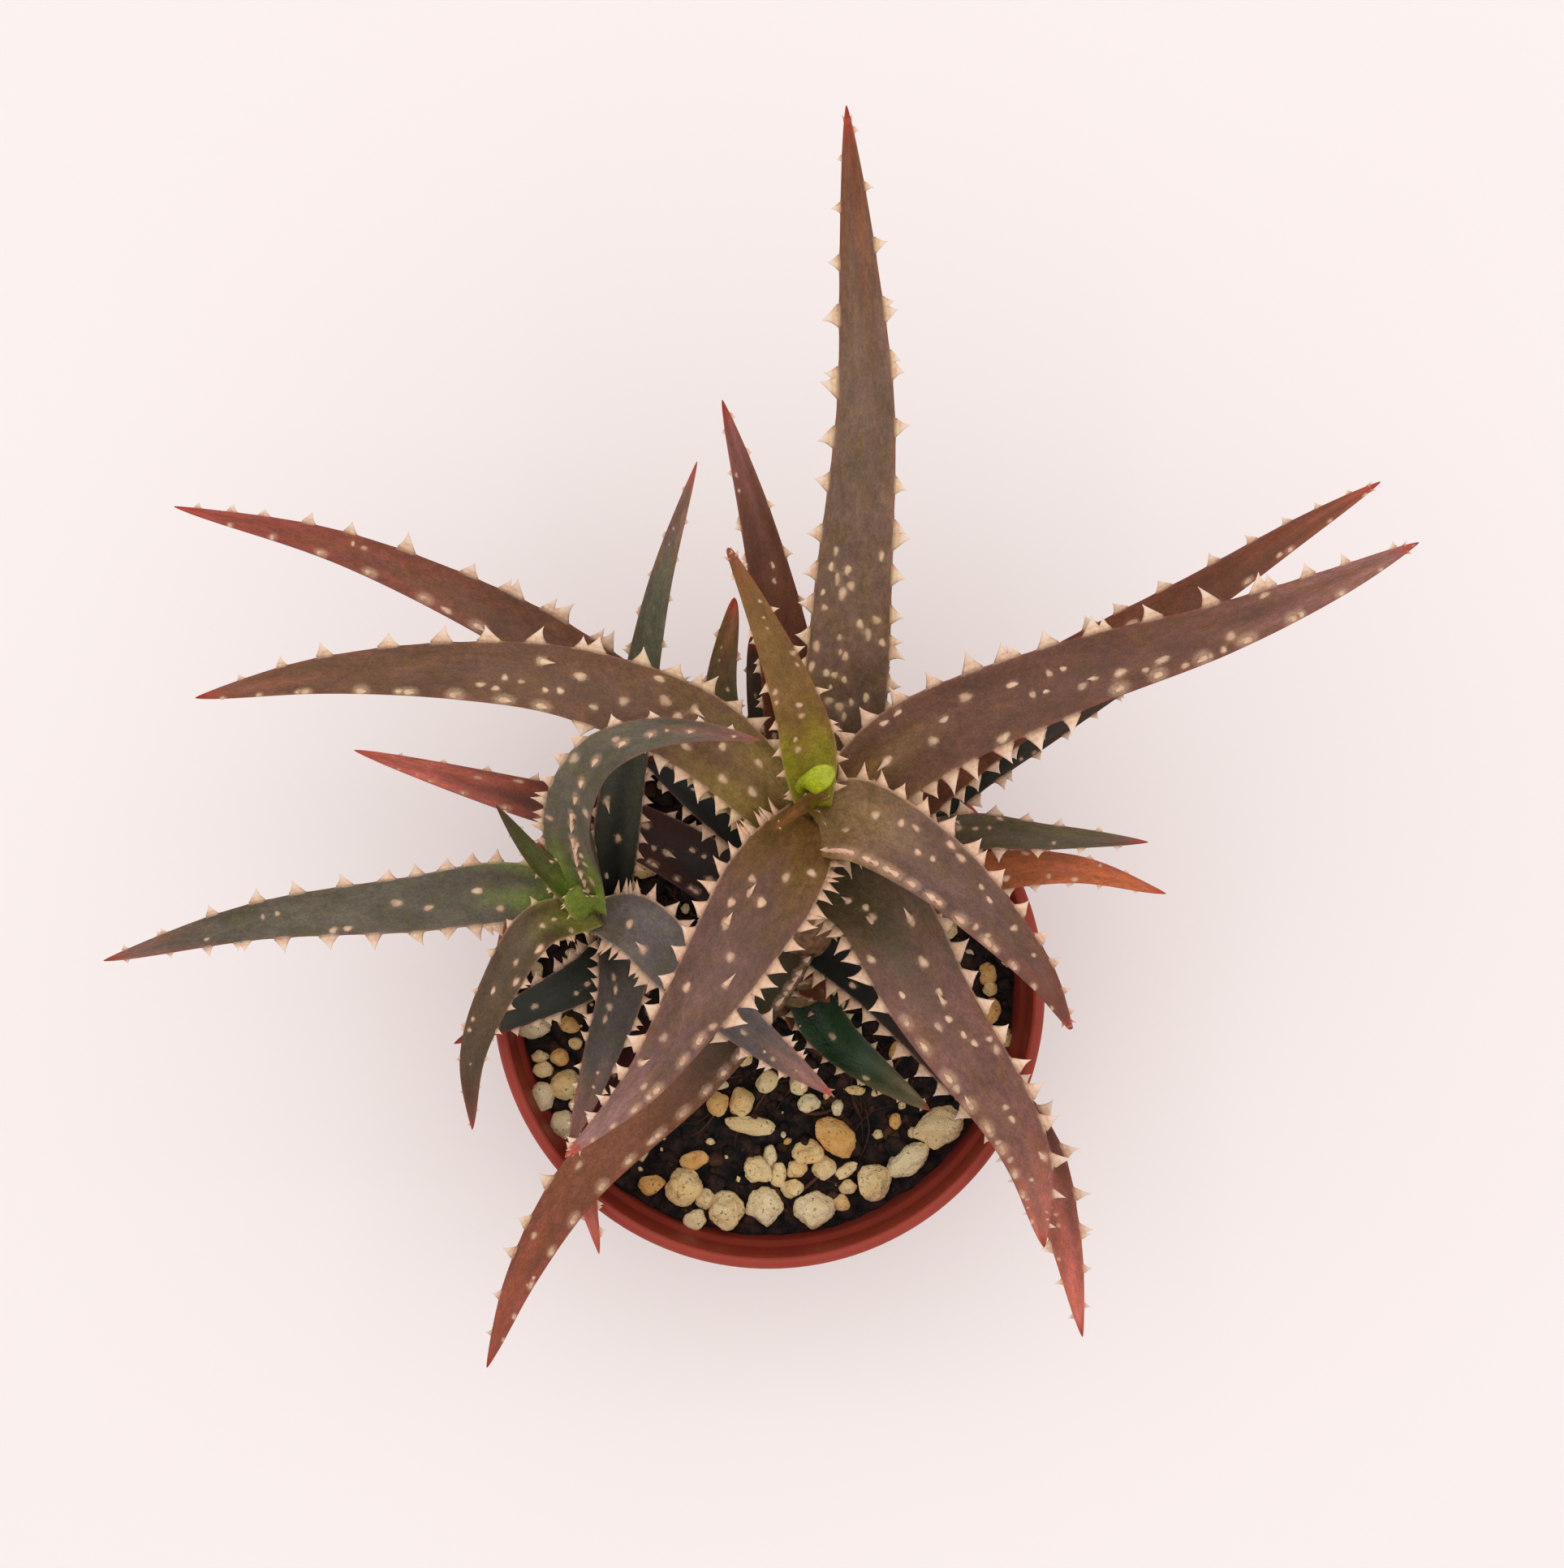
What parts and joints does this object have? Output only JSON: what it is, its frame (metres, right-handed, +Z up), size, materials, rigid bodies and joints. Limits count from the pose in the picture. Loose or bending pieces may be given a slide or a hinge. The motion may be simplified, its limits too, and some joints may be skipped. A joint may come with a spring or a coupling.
{
  "type": "potted aloe",
  "caption": "Leaning toothed aloe rosette with a smaller offset rosette, growing in pumice-strewn soil in a round thin-walled nursery pot.",
  "frame": {"origin": "on the pot's axis, in the plane of its underside, where it stands", "axes": "+Z up, +Y towards the long back leaf, which the main stem leans to, +X to the right of it seen from above"},
  "size_m": [0.237, 0.23, 0.168],
  "materials": {
    "pot": "satin, terracotta colour",
    "soil": "rough dark potting soil with cream pumice",
    "stem": "dry, matt",
    "leaf_brown": "waxy, olive brown",
    "leaf_purple": "waxy, purple brown",
    "leaf_olive": "waxy, olive",
    "leaf_red": "waxy, red brown",
    "leaf_green": "waxy, dark green",
    "leaf_grey_green": "waxy, grey green",
    "leaf_orange": "waxy, orange",
    "leaf_bright_green": "waxy, fresh green"
  },
  "bodies": {
    "root": {"pot": "pot", "soil_with_pumice": "soil", "main_stem": "stem", "offset_stem": "stem", "leaf_left_long": "leaf_brown", "leaf_right_long": "leaf_brown", "leaf_back_long": "leaf_brown", "leaf_front_left_low": "leaf_brown", "leaf_front_left_wide": "leaf_purple", "leaf_front_right_wide": "leaf_purple", "leaf_front_right_long": "leaf_purple", "leaf_young_upright": "leaf_olive", "leaf_left_short": "leaf_olive", "leaf_right_back": "leaf_olive", "leaf_back_small": "leaf_olive", "leaf_centre_folded": "leaf_olive", "offset_leaf_front_green": "leaf_olive", "leaf_left_far": "leaf_red", "leaf_back_purple": "leaf_red", "leaf_front_right_low": "leaf_red", "leaf_left_low_red": "leaf_red", "offset_leaf_front_low": "leaf_red", "leaf_left_hidden": "leaf_green", "leaf_back_tiny": "leaf_green", "leaf_back_small_dark": "leaf_green", "leaf_right_dark": "leaf_green", "leaf_right_green": "leaf_green", "offset_leaf_low_dark": "leaf_green", "offset_leaf_curled": "leaf_grey_green", "offset_leaf_crossing": "leaf_grey_green", "offset_leaf_left_long": "leaf_grey_green", "offset_leaf_upright": "leaf_grey_green", "offset_leaf_front_grey": "leaf_grey_green", "leaf_right_orange": "leaf_orange", "leaf_front_low_green": "leaf_bright_green", "leaf_centre_bud": "leaf_bright_green", "offset_leaf_young": "leaf_bright_green", "offset_leaf_centre": "leaf_bright_green"}
  },
  "joints": []
}
